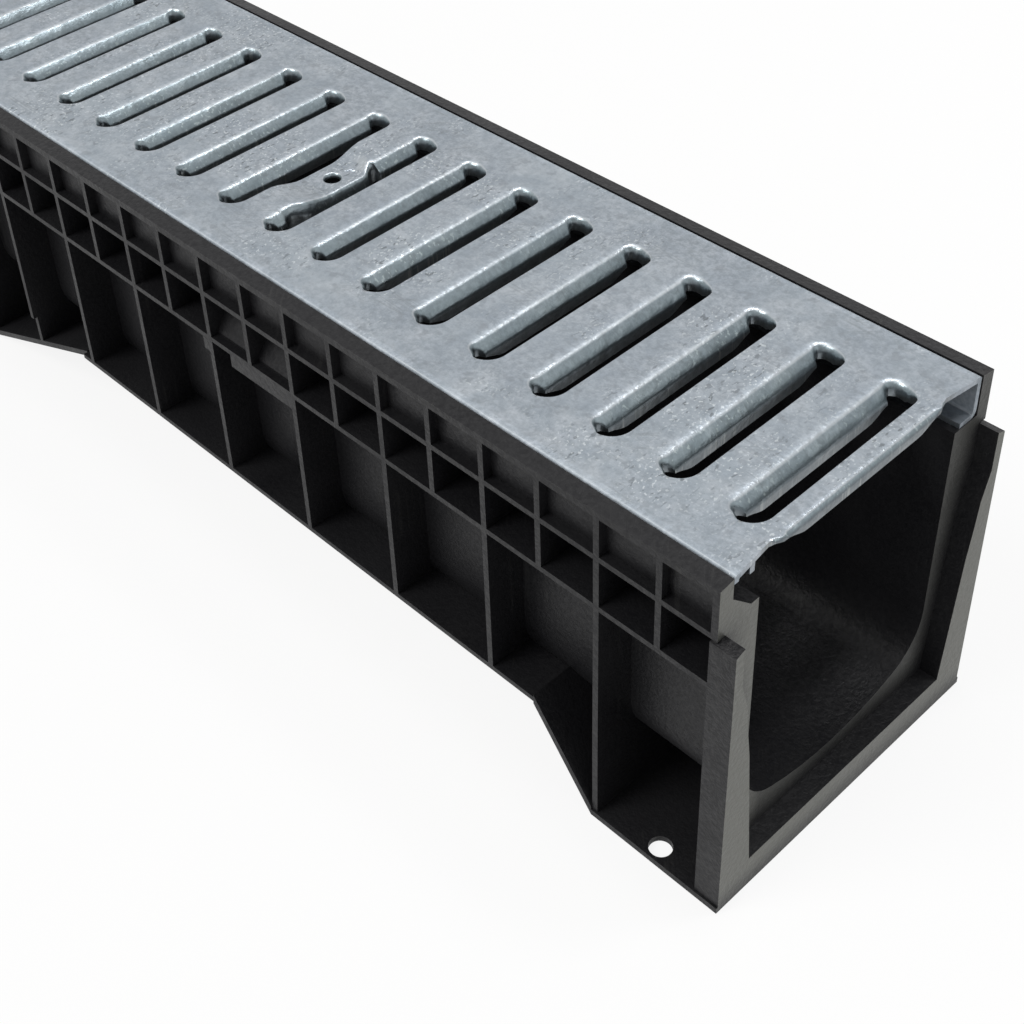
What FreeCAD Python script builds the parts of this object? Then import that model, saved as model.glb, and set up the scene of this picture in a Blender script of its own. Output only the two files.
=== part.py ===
import FreeCAD, Part
import math
import os

# Channel drain: one moulded channel body and two pressed slotted grates resting in its rim.
# Millimetres.  X runs along the channel (socket end at +X), Z is up, the feet stand on z = 0.

V = FreeCAD.Vector

# ---- channel, overall ----
GRATE_LENGTH = 499.4
GRATE_GAP = 0.3              # free space at each end of a grate
GRATE_COUNT = 2
GRATE_SPACE = GRATE_LENGTH + 2.0 * GRATE_GAP
RIM_LENGTH = GRATE_COUNT * GRATE_SPACE
COLLAR_PROJECTION = 7.4      # socket collar in front of the rim end
HEIGHT = 147.0               # foot underside to grate top
X_NEAR = (RIM_LENGTH - COLLAR_PROJECTION) / 2.0
X_COLLAR = X_NEAR + COLLAR_PROJECTION
X_FAR = X_NEAR - RIM_LENGTH

# ---- rim and ledge ----
GRATE_HALF = 61.5
GRATE_SIDE_GAP = 0.5
RIM_INNER_HALF = GRATE_HALF + GRATE_SIDE_GAP
RIM_THICK = 6.0
RIM_HALF = RIM_INNER_HALF + RIM_THICK
RIM_TOP = HEIGHT - 0.3
RIM_TOP_OUTER = HEIGHT - 1.2
RIM_LIP_DEPTH = 4.1          # full width band under the rim top
RIM_WALL = 2.2               # thin rim wall between the ribs
GRATE_DEPTH = 17.0
LEDGE_TOP = HEIGHT - GRATE_DEPTH
LEDGE_THICK = 3.4
LEDGE_UNDERSIDE = LEDGE_TOP - LEDGE_THICK
RIM_GUSSET_RISE = 8.5        # small gusset inside the rim corner at the socket end
RIM_GUSSET_RUN = 8.8

# ---- flow duct ----
DUCT_TOP_HALF = 49.5
DUCT_LOW_HALF = 48.8
DUCT_FLOOR_R = 107.0
DUCT_CORNER_R = 22.0
DUCT_FLOOR = HEIGHT - 125.2
DUCT_WALL = 3.0

# ---- ribs ----
RIB_PITCH = 25.0
FIRST_RIB = 22.5             # first rib behind the rim end
RIB_COUNT = int((RIM_LENGTH - FIRST_RIB) / RIB_PITCH)
RIB_THICK = 2.4
RIB_HALF = RIM_HALF + 0.3
LONG_RIB_1 = HEIGHT - 20.9
LONG_RIB_2 = HEIGHT - 42.6
LONG_RIB_THICK = 2.2
SIDE_PLATE_LOW = HEIGHT - 110.7
SIDE_PLATE_THICK = 2.2

# ---- feet ----
FOOT_HALF = 69.0
FOOT_THICK = 2.6
MID_FOOT_HALF = 66.5
MID_FOOT_FLAT = 99.0
MID_FOOT_RUN = 92.0          # length of each slope of the middle foot
END_FOOT_LENGTH = FIRST_RIB + RIB_PITCH + RIB_THICK / 2.0
END_FOOT_RUN = 27.0
HOLE_D = 8.5
HOLE_X = 21.5                # behind the rim end
HOLE_Y = 63.5

# ---- socket collar and mating end ----
END_WALL = 2.6
COLLAR_HALF = RIB_HALF
COLLAR_TOP = HEIGHT - 20.8
COLLAR_TOP_OUTER = HEIGHT - 23.2
COLLAR_CORNER_Y = 62.4
COLLAR_CORNER_Z = 2.7
SOCKET_OUTLINE = (
    (64.4, HEIGHT - 20.0),
    (64.4, HEIGHT - 38.0),
    (61.0, HEIGHT - 50.0),
    (59.8, HEIGHT - 62.0),
    (58.0, HEIGHT - 75.0),
    (56.0, HEIGHT - 99.0),
    (53.2, HEIGHT - 132.6),
)
SPIGOT_CLEARANCE = 0.8
SPIGOT_THICK = 2.6

# ---- lock pockets, measured from the end of each grate ----
POCKET_DROP = 7.0
POCKET_START = 197.5
POCKET_LONG_END = 235.0
POCKET_SHORT_START = 247.5
POCKET_SHORT_END = 252.0
POCKET_SKIN = 2.2
POCKET_BOX_TOP = HEIGHT - 31.0
POCKET_BOX_OUT = 64.5

# ---- grates ----
SHEET = 2.0
GRATE_EDGE_R = 3.0
FLANGE_LIP = 9.1             # return lip, inward from the grate's side
SLOT_PITCH = 27.7778
SLOT_NEAR = 7.65             # near edge of the first slot behind the grate's space end
SLOT_COUNT = int((GRATE_SPACE - SLOT_NEAR) / SLOT_PITCH + 0.3)
SLOT_WIDTH = 16.35           # from the sharp near edge to the start of the far bend
SLOT_HALF = 43.2             # half length over the bends
BEND_R = 6.0                 # outer radius of the bend along the far edge
BEND_MID = math.sqrt(0.5)    # sine of half the bend
BEND_AT_ENDS = 4.7           # reach of the bend at both slot ends
SLOT_END_FLATS = 6           # flats round each half-round end, few because the slots repeat
COLLAR_END = 5.2             # the collar stops this far short of the near edge
FLAP_DEPTH = 9.0
FLAP_FLAT_HALF = 27.0
FLAP_SLANT_END = 35.0

# ---- lock eye, in the bar behind slot EYE_SLOT (counted from 0) ----
EYE_SLOT = SLOT_COUNT // 2 - 1
EYE_SETBACK = 3.5            # eye centre behind the slot's far edge
EYE_HOLE_D = 6.0
EYE_R = 8.2
EYE_FLATS = 16
EYE_FLOOR_R = 4.6
EYE_DEPTH = 3.5
EYE_STEP = 7.0               # the bar is wider by this beside the eye
EYE_STEP_PLUS = 14.0         # from here the bar is wide, on the +Y side
EYE_STEP_MINUS = 24.0        # and to here on the -Y side
EYE_STEP_RUN = 5.0

# ---- turned-down ends of a grate ----
END_FLAP_HALF = 38.5
END_FLAP_LOW_HALF = 30.5
END_FLAP_DEPTH = 5.0
END_CORNER_START = 42.0      # plate corners outside this are set back
END_CORNER_SETBACK = 1.8
TAB_Y = 53.0
TAB_WIDTH = 2.4
TAB_DEPTH = 7.5
FLANGE_CUTBACK = 4.0         # clears the rim gusset


def box(x0, x1, y0, y1, z0, z1):
    return Part.makeBox(x1 - x0, y1 - y0, z1 - z0, V(x0, y0, z0))


def section(points, x0, x1):
    """Closed outline of (y, z) points run along X."""
    wire = Part.makePolygon([V(x0, y, z) for y, z in points + points[:1]])
    return Part.Face(wire).extrude(V(x1 - x0, 0, 0))


def side_shape(points, y0, y1):
    """Closed outline of (x, z) points run along Y."""
    wire = Part.makePolygon([V(x, y0, z) for x, z in points + points[:1]])
    return Part.Face(wire).extrude(V(0, y1 - y0, 0))


def mirror_y(shape):
    return shape.mirror(V(0, 0, 0), V(0, 1, 0))


def both_sides(shapes):
    return shapes + [mirror_y(s) for s in shapes]


def duct(offset, x0, x1, z_top):
    """Duct outline grown outward by offset, straight sides, rounded corners, bowed floor."""
    centre_z = DUCT_FLOOR + DUCT_FLOOR_R
    corner_y = DUCT_LOW_HALF - DUCT_CORNER_R
    reach = DUCT_FLOOR_R - DUCT_CORNER_R
    corner_z = centre_z - math.sqrt(reach ** 2 - corner_y ** 2)
    corner_r = DUCT_CORNER_R + offset
    floor_r = DUCT_FLOOR_R + offset
    tangent = math.atan2(corner_z - centre_z, corner_y)

    def on_corner(angle):
        return V(x0, corner_y + corner_r * math.cos(angle), corner_z + corner_r * math.sin(angle))

    top = V(x0, DUCT_TOP_HALF + offset, z_top)
    start = on_corner(0.0)
    middle = on_corner(tangent / 2.0)
    end = on_corner(tangent)
    floor = V(x0, 0, centre_z - floor_r)

    def other(p):
        return V(p.x, -p.y, p.z)

    edges = [
        Part.makeLine(top, start),
        Part.Arc(start, middle, end).toShape(),
        Part.Arc(end, floor, other(end)).toShape(),
        Part.Arc(other(end), other(middle), other(start)).toShape(),
        Part.makeLine(other(start), other(top)),
        Part.makeLine(other(top), top),
    ]
    return Part.Face(Part.Wire(edges)).extrude(V(x1 - x0, 0, 0))


def fuse_all(shapes):
    return shapes[0].multiFuse(shapes[1:])


# ---------------------------------------------------------------- channel body

def rib_positions():
    return [X_NEAR - FIRST_RIB - RIB_PITCH * k for k in range(RIB_COUNT)]


def foot_level(x):
    """Height of the underside skin of the body at x."""
    slope = SIDE_PLATE_LOW
    for x0, z0, x1, z1 in foot_slopes():
        if x0 <= x <= x1:
            return z0 + (z1 - z0) * (x - x0) / (x1 - x0)
    for x0, x1 in foot_flats():
        if x0 <= x <= x1:
            return 0.0
    return slope


def body_end():
    return X_FAR + COLLAR_PROJECTION


def foot_flats():
    middle = (X_NEAR + body_end()) / 2.0
    return [
        (X_NEAR - END_FOOT_LENGTH, X_COLLAR),
        (middle - MID_FOOT_FLAT / 2.0, middle + MID_FOOT_FLAT / 2.0),
        (body_end(), body_end() + END_FOOT_LENGTH),
    ]


def foot_slopes():
    near, mid, far = foot_flats()
    low = SIDE_PLATE_LOW
    return [
        (near[0] - END_FOOT_RUN, low, near[0], 0.0),
        (mid[1], 0.0, mid[1] + MID_FOOT_RUN, low),
        (mid[0] - MID_FOOT_RUN, low, mid[0], 0.0),
        (far[1], 0.0, far[1] + END_FOOT_RUN, low),
    ]


def rim_side():
    lip_low = HEIGHT - RIM_LIP_DEPTH
    lip = [
        (RIM_INNER_HALF, lip_low),
        (RIM_INNER_HALF, RIM_TOP),
        (RIM_HALF, RIM_TOP_OUTER),
        (RIM_HALF, lip_low),
    ]
    wall_out = RIM_INNER_HALF + RIM_WALL
    return [
        section(lip, X_FAR, X_NEAR),
        box(X_FAR, X_NEAR, RIM_INNER_HALF, wall_out, LEDGE_UNDERSIDE, lip_low),
        box(X_FAR, X_NEAR, DUCT_TOP_HALF, wall_out, LEDGE_UNDERSIDE, LEDGE_TOP),
    ]


def rib_side():
    inner = DUCT_TOP_HALF + DUCT_WALL / 2.0
    rim_join = RIM_INNER_HALF + RIM_WALL / 2.0
    lip_join = HEIGHT - RIM_LIP_DEPTH / 2.0
    half = RIB_THICK / 2.0
    shapes = []
    for k, x in enumerate(rib_positions()):
        if x - half < body_end():
            continue
        upper = [
            (inner, LONG_RIB_2),
            (inner, LEDGE_UNDERSIDE + 1.0),
            (rim_join, LEDGE_UNDERSIDE + 1.0),
            (rim_join, lip_join),
            (RIM_HALF, lip_join),
            (RIM_HALF, LONG_RIB_2),
        ]
        shapes.append(section(upper, x - half, x + half))
        if k % 2:
            low = min(foot_level(x - half), foot_level(x + half))
            low = SIDE_PLATE_LOW if low == SIDE_PLATE_LOW else max(low, 0.0)
            wide = RIB_HALF if low == SIDE_PLATE_LOW else MID_FOOT_HALF
            fin = [
                (inner, LONG_RIB_2 + 1.0),
                (RIM_HALF, LONG_RIB_2 + 1.0),
                (RIB_HALF, SIDE_PLATE_LOW),
                (DUCT_LOW_HALF - 2.0, SIDE_PLATE_LOW),
                (inner - 0.6, HEIGHT - 98.0),
            ]
            shapes.append(section(fin, x - half, x + half))
    for z in (LONG_RIB_1, LONG_RIB_2):
        low = z - LONG_RIB_THICK / 2.0
        shapes.append(box(body_end(), X_NEAR, inner, RIM_HALF, low, low + LONG_RIB_THICK))
    return shapes


def side_plates():
    """Raised underside of the body between the feet."""
    slopes = foot_slopes()
    spans = [(slopes[1][2], slopes[0][0]), (slopes[3][2], slopes[2][0])]
    top = SIDE_PLATE_LOW + SIDE_PLATE_THICK
    return [box(x0, x1, DUCT_LOW_HALF - 2.0, RIB_HALF, SIDE_PLATE_LOW, top) for x0, x1 in spans]


def feet():
    """Flat foot plates, their slopes and the cross walls under the duct."""
    shapes = []
    flats = foot_flats()
    halves = (FOOT_HALF, MID_FOOT_HALF, FOOT_HALF)
    for (x0, x1), half in zip(flats, halves):
        shapes.append(box(x0, x1, -half, half, 0.0, FOOT_THICK))
    for (x0, z0, x1, z1), half in zip(foot_slopes(), (FOOT_HALF, MID_FOOT_HALF, MID_FOOT_HALF, FOOT_HALF)):
        slope = math.hypot(x1 - x0, z1 - z0)
        rise = FOOT_THICK * slope / (x1 - x0)
        shapes.append(side_shape([(x0, z0), (x1, z1), (x1, z1 + rise), (x0, z0 + rise)], -half, half))
    half = RIB_THICK / 2.0
    for k, x in enumerate(rib_positions()):
        low = max(foot_level(x - half), foot_level(x + half))
        if k % 2 and low < SIDE_PLATE_LOW:
            wide = MID_FOOT_HALF if abs(x) < 200.0 else RIB_HALF
            wall = section(
                [(-wide, low), (wide, low), (wide, SIDE_PLATE_LOW + 1.0), (-wide, SIDE_PLATE_LOW + 1.0)],
                x - half,
                x + half,
            )
            shapes.append(wall)
    return shapes


def outer_outline(z_top, z_top_outer):
    return [
        (-RIM_INNER_HALF, z_top),
        (-COLLAR_HALF, z_top_outer),
        (-COLLAR_HALF, COLLAR_CORNER_Z),
        (-COLLAR_CORNER_Y, 0.0),
        (COLLAR_CORNER_Y, 0.0),
        (COLLAR_HALF, COLLAR_CORNER_Z),
        (COLLAR_HALF, z_top_outer),
        (RIM_INNER_HALF, z_top),
    ]


def socket_outline(clearance):
    right = [(y - clearance, z) for y, z in SOCKET_OUTLINE]
    right[-1] = (right[-1][0], right[-1][1] + clearance)
    left = [(-y, z) for y, z in reversed(right)]
    return right + left


def ends():
    collar = section(outer_outline(COLLAR_TOP, COLLAR_TOP_OUTER), X_NEAR - END_WALL, X_COLLAR)
    collar = collar.cut(section(socket_outline(0.0), X_NEAR, X_COLLAR + 1.0))
    rim_end = [
        box(X_NEAR - END_WALL, X_NEAR, RIM_INNER_HALF, RIM_HALF, COLLAR_TOP - 1.0, HEIGHT - 2.0),
    ]
    far_wall = section(outer_outline(COLLAR_TOP, COLLAR_TOP_OUTER), body_end(), body_end() + END_WALL)
    far_top = box(body_end(), body_end() + END_WALL, RIM_INNER_HALF, RIM_HALF, COLLAR_TOP - 1.0, HEIGHT - 2.0)
    far_rim = box(X_FAR, X_FAR + END_WALL, RIM_INNER_HALF, RIM_HALF, LEDGE_UNDERSIDE, HEIGHT - 2.0)
    spigot = section(socket_outline(SPIGOT_CLEARANCE), X_FAR, X_FAR + SPIGOT_THICK)
    gusset = section(
        [
            (-RIM_INNER_HALF - 1.0, LEDGE_TOP - 1.0),
            (-RIM_INNER_HALF - 1.0, LEDGE_TOP + RIM_GUSSET_RISE),
            (-RIM_INNER_HALF, LEDGE_TOP + RIM_GUSSET_RISE),
            (-RIM_INNER_HALF + RIM_GUSSET_RUN, LEDGE_TOP),
            (-RIM_INNER_HALF + RIM_GUSSET_RUN, LEDGE_TOP - 1.0),
        ],
        X_NEAR - END_WALL,
        X_NEAR,
    )
    shapes = [collar, far_wall, spigot, gusset]
    return shapes + both_sides(rim_end + [far_top, far_rim])


def pocket_side():
    """Lock pockets beside each grate's lock eye, mirrored for the second grate."""
    inner = DUCT_TOP_HALF + DUCT_WALL / 2.0
    low = LONG_RIB_2 - POCKET_DROP
    shapes = []
    for start, sign in ((X_NEAR, -1.0), (X_FAR, 1.0)):
        def span(a, b):
            return sorted((start + sign * a, start + sign * b))
        x0, x1 = span(POCKET_START, POCKET_LONG_END)
        shapes.append(box(x0, x1, RIM_HALF - POCKET_SKIN, RIM_HALF, low, LONG_RIB_2))
        x0, x1 = span(POCKET_SHORT_START, POCKET_SHORT_END)
        shapes.append(box(x0, x1, RIM_HALF - POCKET_SKIN, RIM_HALF, low, LONG_RIB_2))
        x0, x1 = span(POCKET_START, POCKET_SHORT_START)
        roof = [
            (inner, LONG_RIB_2),
            (inner, POCKET_BOX_TOP),
            (POCKET_BOX_OUT - 6.0, POCKET_BOX_TOP),
            (POCKET_BOX_OUT, LONG_RIB_2 + 2.0),
            (POCKET_BOX_OUT, LONG_RIB_2),
        ]
        shapes.append(section(roof, x0, x1))
    return shapes


def channel_body():
    parts = [duct(DUCT_WALL, X_FAR, X_NEAR, LEDGE_UNDERSIDE + 1.0)]
    parts += both_sides(rim_side() + rib_side() + side_plates() + pocket_side())
    parts += feet() + ends()
    body = fuse_all(parts)
    body = body.cut(duct(0.0, X_FAR - 1.0, X_NEAR + 0.5, LEDGE_TOP + 1.0))
    holes = []
    for x in (X_NEAR - HOLE_X, body_end() + HOLE_X):
        for side in (-1.0, 1.0):
            holes.append(Part.makeCylinder(HOLE_D / 2.0, FOOT_THICK + 4.0, V(x, side * HOLE_Y, -1.0)))
    body = body.cut(Part.Compound(holes))
    return body.removeSplitter()


# ---------------------------------------------------------------- pressed grate

def rounded_bar(half, z1, z0, radius, x0, x1):
    block = box(x0, x1, -half, half, z0, z1)
    edges = []
    for edge in block.Edges:
        p0 = edge.Vertexes[0].Point
        p1 = edge.Vertexes[1].Point
        if abs(p0.x - p1.x) > 1.0:
            edges.append(edge)
    return block.makeFillet(radius, edges)


def grate_section(x0, x1):
    """C-shaped sheet section run along X."""
    lip = GRATE_HALF - FLANGE_LIP
    outer = rounded_bar(GRATE_HALF, HEIGHT, LEDGE_TOP, GRATE_EDGE_R, x0, x1)
    inner = rounded_bar(GRATE_HALF - SHEET, HEIGHT - SHEET, LEDGE_TOP + SHEET, GRATE_EDGE_R - SHEET, x0, x1)
    mouth = box(x0, x1, -lip, lip, LEDGE_TOP - 1.0, LEDGE_TOP + SHEET + 1.0)
    return outer.cut(inner).cut(mouth)


def slot_wire(x_near, from_far, from_end, z, stepped):
    """Plan of a slot at one level: straight near edge, half-round ends, far edge moved in by from_far."""
    far = x_near - SLOT_WIDTH + from_far
    radius = (x_near - far) / 2.0
    side = SLOT_HALF - from_end - radius
    cx = (x_near + far) / 2.0
    turns = [math.pi * n / SLOT_END_FLATS for n in range(SLOT_END_FLATS + 1)]
    plus_end = [(cx + radius * math.cos(a), side + radius * math.sin(a)) for a in turns]
    minus_end = [(x, -y) for x, y in reversed(plus_end)]
    step = []
    if stepped:
        step = [
            (far, EYE_STEP_PLUS + EYE_STEP_RUN),
            (far + EYE_STEP, EYE_STEP_PLUS),
            (far + EYE_STEP, -EYE_STEP_MINUS),
            (far, -EYE_STEP_MINUS - EYE_STEP_RUN),
        ]
    outline = plus_end + step + minus_end
    return Part.makePolygon([V(x, y, z) for x, y in outline + outline[:1]])


def slot_pocket(x_near, stepped=False):
    """What the press leaves open: wide at the top, narrowing round the bend, then straight down."""
    top = slot_wire(x_near, 0.0, 0.0, HEIGHT, stepped)
    middle_z = HEIGHT - BEND_R * (1.0 - BEND_MID)
    middle = slot_wire(x_near, BEND_R * BEND_MID, BEND_AT_ENDS * BEND_MID, middle_z, stepped)
    throat = slot_wire(x_near, BEND_R, BEND_AT_ENDS, HEIGHT - BEND_R, stepped)
    bend = Part.makeLoft([top, middle, throat], True, True)
    below = Part.Face(throat).extrude(V(0, 0, -BEND_R))
    return bend.fuse(below)


def slot_sleeve(x_near, stepped=False):
    """Outside of the turned-down sheet of one slot; the pocket hollows it."""
    inner_r = BEND_R - SHEET
    start = SHEET * BEND_MID
    top = slot_wire(x_near, start, start, HEIGHT - SHEET, stepped)
    throat = slot_wire(x_near, inner_r, BEND_AT_ENDS - SHEET, HEIGHT - BEND_R, stepped)
    bend = Part.makeLoft([top, throat], True, True)
    below = Part.Face(throat).extrude(V(0, 0, BEND_R - FLAP_DEPTH))
    sleeve = bend.fuse(below)
    keep = box(
        x_near - SLOT_WIDTH - 1.0,
        x_near - COLLAR_END,
        -SLOT_HALF,
        SLOT_HALF,
        HEIGHT - FLAP_DEPTH - 1.0,
        HEIGHT - SHEET,
    )
    return sleeve.common(keep).cut(flap_trims(x_near - SLOT_WIDTH, x_near))


def flap_trims(x0, x1):
    """The flap is deepest in the middle and slants up toward both slot ends."""
    low = HEIGHT - FLAP_DEPTH
    high = HEIGHT - BEND_R
    wedge = [
        (FLAP_FLAT_HALF, low - 1.0),
        (FLAP_FLAT_HALF, low),
        (FLAP_SLANT_END, high),
        (SLOT_HALF + 2.0, high),
        (SLOT_HALF + 2.0, low - 1.0),
    ]
    one = section(wedge, x0 - 1.0, x1 + 1.0)
    return one.fuse(mirror_y(one))


def ring_wire(x, radius, z):
    turns = [2.0 * math.pi * n / EYE_FLATS for n in range(EYE_FLATS)]
    points = [V(x + radius * math.cos(a), radius * math.sin(a), z) for a in turns]
    return Part.makePolygon(points + points[:1])


def eye_bowl(x, drop):
    """Tapered plug from the plate's face down to the dish floor, lowered by drop."""
    top = ring_wire(x, EYE_R, HEIGHT - drop)
    floor = ring_wire(x, EYE_FLOOR_R, HEIGHT - EYE_DEPTH - drop)
    return Part.makeLoft([top, floor], True, True)


def end_flap(x_end, direction):
    """Turned-down lip at one end of a grate; direction is +1 at the +X end."""
    outline = [
        (-END_FLAP_HALF, HEIGHT - SHEET / 2.0),
        (-END_FLAP_LOW_HALF, HEIGHT - END_FLAP_DEPTH),
        (END_FLAP_LOW_HALF, HEIGHT - END_FLAP_DEPTH),
        (END_FLAP_HALF, HEIGHT - SHEET / 2.0),
    ]
    x0, x1 = sorted((x_end, x_end - direction * SHEET))
    return section(outline, x0, x1)


def end_corners(x_end, direction):
    x0, x1 = sorted((x_end + direction, x_end - direction * END_CORNER_SETBACK))
    one = box(x0, x1, END_CORNER_START, GRATE_HALF - SHEET, HEIGHT - SHEET - 1.0, HEIGHT + 1.0)
    return [one, mirror_y(one)]


def grate(x_plus):
    """One grate whose space in the rim starts at x_plus and runs toward -X."""
    x1 = x_plus - GRATE_GAP
    x0 = x1 - GRATE_LENGTH
    slots = [x_plus - SLOT_NEAR - SLOT_PITCH * n for n in range(SLOT_COUNT)]
    eye_x = slots[EYE_SLOT] - SLOT_WIDTH - EYE_SETBACK
    added = [slot_sleeve(x, n == EYE_SLOT) for n, x in enumerate(slots)]
    added += [end_flap(x1, 1.0), end_flap(x0, -1.0)]
    tab_y = -TAB_Y - TAB_WIDTH / 2.0
    added.append(box(x1 - SHEET - END_CORNER_SETBACK, x1 - END_CORNER_SETBACK, tab_y, tab_y + TAB_WIDTH,
                     HEIGHT - TAB_DEPTH, HEIGHT - SHEET / 2.0))
    body = grate_section(x0, x1).multiFuse(added)
    removed = [slot_pocket(x, n == EYE_SLOT) for n, x in enumerate(slots)]
    removed += end_corners(x1, 1.0) + end_corners(x0, -1.0)
    removed.append(box(x1 - FLANGE_CUTBACK, x1 + 1.0, -GRATE_HALF - 1.0, -GRATE_HALF + FLANGE_LIP + 1.0,
                       LEDGE_TOP - 1.0, HEIGHT - TAB_DEPTH))
    removed.append(Part.makeCylinder(EYE_HOLE_D / 2.0, 3.0 * EYE_DEPTH, V(eye_x, 0, HEIGHT - 2.5 * EYE_DEPTH)))
    removed.append(eye_bowl(eye_x, 0.0))
    body = body.fuse(eye_bowl(eye_x, SHEET))
    body = body.cut(Part.Compound(removed))
    return body.removeSplitter()


def save(shape, name):
    solids = shape.Solids
    if len(solids) != 1:
        raise ValueError(name + " must be one solid, found " + str(len(solids)))
    if not shape.isValid():
        raise ValueError(name + " is not valid")
    solids[0].exportStep("parts/" + name + ".step")


os.makedirs("parts", exist_ok=True)
save(channel_body(), "channel_body")
for number in range(GRATE_COUNT):
    save(grate(X_NEAR - GRATE_SPACE * number), "grate_" + str(number + 1))
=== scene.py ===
# %% [markdown]
# A channel drain is a long moulded plastic trough that is cast into paving, with pressed zinc-coated
# grates resting in its rim. The trough is shown as it was packed. The grates are pressed once more here,
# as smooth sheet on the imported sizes. So this lesson is about four things: the view, the light, the soft
# bends that a press leaves, and the two finishes. Everything is in metres, X runs along the channel and
# Z is up.

# %% Load the fixed frame
import math

import bmesh
import bpy
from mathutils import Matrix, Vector


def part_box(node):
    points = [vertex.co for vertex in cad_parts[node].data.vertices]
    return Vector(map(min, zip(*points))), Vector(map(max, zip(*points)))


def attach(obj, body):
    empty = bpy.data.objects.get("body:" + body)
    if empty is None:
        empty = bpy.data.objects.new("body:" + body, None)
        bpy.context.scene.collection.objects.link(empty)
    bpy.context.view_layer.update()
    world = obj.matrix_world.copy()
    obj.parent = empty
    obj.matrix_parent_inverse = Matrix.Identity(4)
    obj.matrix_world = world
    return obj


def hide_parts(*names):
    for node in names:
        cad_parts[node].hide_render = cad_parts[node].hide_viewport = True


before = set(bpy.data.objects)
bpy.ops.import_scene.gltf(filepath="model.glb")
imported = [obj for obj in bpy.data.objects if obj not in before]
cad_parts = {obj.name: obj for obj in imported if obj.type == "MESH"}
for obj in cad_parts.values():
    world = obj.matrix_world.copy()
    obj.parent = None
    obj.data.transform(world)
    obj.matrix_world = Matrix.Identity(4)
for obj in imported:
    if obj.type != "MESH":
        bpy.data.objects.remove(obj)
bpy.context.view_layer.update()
channel = bpy.data.objects["channel_body"]
print("nodes:", sorted(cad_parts))

# %% [markdown]
# The camera stands a little above one corner of the near end and looks along the run, so the grates fill
# the top of the frame and the ribbed side falls away to the left. A lens of about 60 mm on a 36 mm sensor
# keeps the near end large without bending it. The small shift puts the near end low in the frame.


# %% Camera
def add_object(name, data):
    """Put new data into the scene as an object."""
    made = bpy.data.objects.new(name, data)
    bpy.context.scene.collection.objects.link(made)
    return made


camera_data = bpy.data.cameras.new("view")
camera_data.sensor_width = 36.0
camera_data.lens = 60.3
camera_data.shift_x = 0.0698
camera_data.shift_y = -0.1675
camera_data.clip_start = 0.01
camera_data.clip_end = 50.0
camera = add_object("view", camera_data)
camera.location = (0.7006, -0.3400, 0.5011)
camera.rotation_euler = tuple(math.radians(a) for a in (51.984, 3.123, 46.934))
bpy.context.scene.camera = camera
print("lens", camera_data.lens, "mm at", tuple(round(c, 3) for c in camera.location))

# %% [markdown]
# The light is a hazy day: one small bright source from the upper left, and an even sky. The small source
# lights the ribbed side at a slant, so each rib throws a soft shadow to the right. On the zinc it only
# shows where the press bent the sheet towards it, which is at the far end of every slot. Two compact
# lamps overhead add a pair of sparks there, and one large weak box in front keeps the shadows open.

# %% Lamps
SUN_COLOUR = (1.0, 0.985, 0.96)
CEILING_AIM = (0.3, 0.0, 0.1)
CEILING_SIZE = (0.42, 0.34)
CEILING_WATTS = 14.0


def point_at(lamp, place, aim):
    """Stand a lamp at a place and turn it towards a point."""
    lamp.location = place
    lamp.rotation_euler = (Vector(aim) - Vector(place)).to_track_quat("-Z", "Y").to_euler()


def soft_lamp(name, place, aim, size, watts):
    """A flat lamp that shines from its whole face."""
    data = bpy.data.lights.new(name, "AREA")
    data.shape = "RECTANGLE"
    data.size, data.size_y = size
    data.energy = watts
    point_at(add_object(name, data), place, aim)
    print("lamp", name, watts, "W")


def hazy_sun(place, strength, width):
    """A sun behind thin cloud, seen as a disc of the given width in degrees."""
    data = bpy.data.lights.new("hazy_sun", "SUN")
    data.energy = strength
    data.angle = math.radians(width)
    data.color = SUN_COLOUR
    point_at(add_object("hazy_sun", data), place, (0.0, 0.0, 0.0))
    print("sun", strength, "W per square metre,", width, "degrees wide")


hazy_sun((-0.24, -0.57, 0.77), 1.5, 24.0)
soft_lamp("front_box", (2.8, 0.4, 0.9), (0.45, 0.0, 0.05), (2.6, 1.6), 9.0)
soft_lamp("ceiling_left", (0.42, 0.10, 2.7), CEILING_AIM, CEILING_SIZE, CEILING_WATTS)
soft_lamp("ceiling_right", (1.05, 0.85, 2.5), CEILING_AIM, CEILING_SIZE, CEILING_WATTS)

# %% [markdown]
# A white background costs no light when it is only painted for the rays that look at it: Light Path tells
# the sky and the floor which rays come from the camera or from a mirror-like bounce. Those see white, and
# the rest of the light on the object stays at its plain level. The floor keeps part of its real shading,
# so the object still has a shadow to stand on.

# %% Sky and floor
WHITE = (1.0, 1.0, 1.0, 1.0)
SKY_STRENGTH = 0.38          # what the sky gives as light
PAPER = (0.82, 0.82, 0.82, 1.0)
PAPER_GLOW = 0.88            # share of plain white in the floor, where it is looked at
FLOOR_HALF = 6.0
FLOOR_DROP = 0.0005          # keeps the floor clear of the feet


def seen_directly(tree):
    """1 for rays that look at a surface, 0 for rays that light other things."""
    path = tree.nodes.new("ShaderNodeLightPath")
    seen = path.outputs["Is Camera Ray"]
    for label in ("Is Glossy Ray", "Is Transmission Ray"):
        either = tree.nodes.new("ShaderNodeMath")
        either.operation = "MAXIMUM"
        tree.links.new(seen, either.inputs[0])
        tree.links.new(path.outputs[label], either.inputs[1])
        seen = either.outputs[0]
    return seen


def white_light(tree, kind, strength):
    """A shader that gives out plain white."""
    node = tree.nodes.new(kind)
    node.inputs["Color"].default_value = WHITE
    node.inputs["Strength"].default_value = strength
    return node


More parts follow.
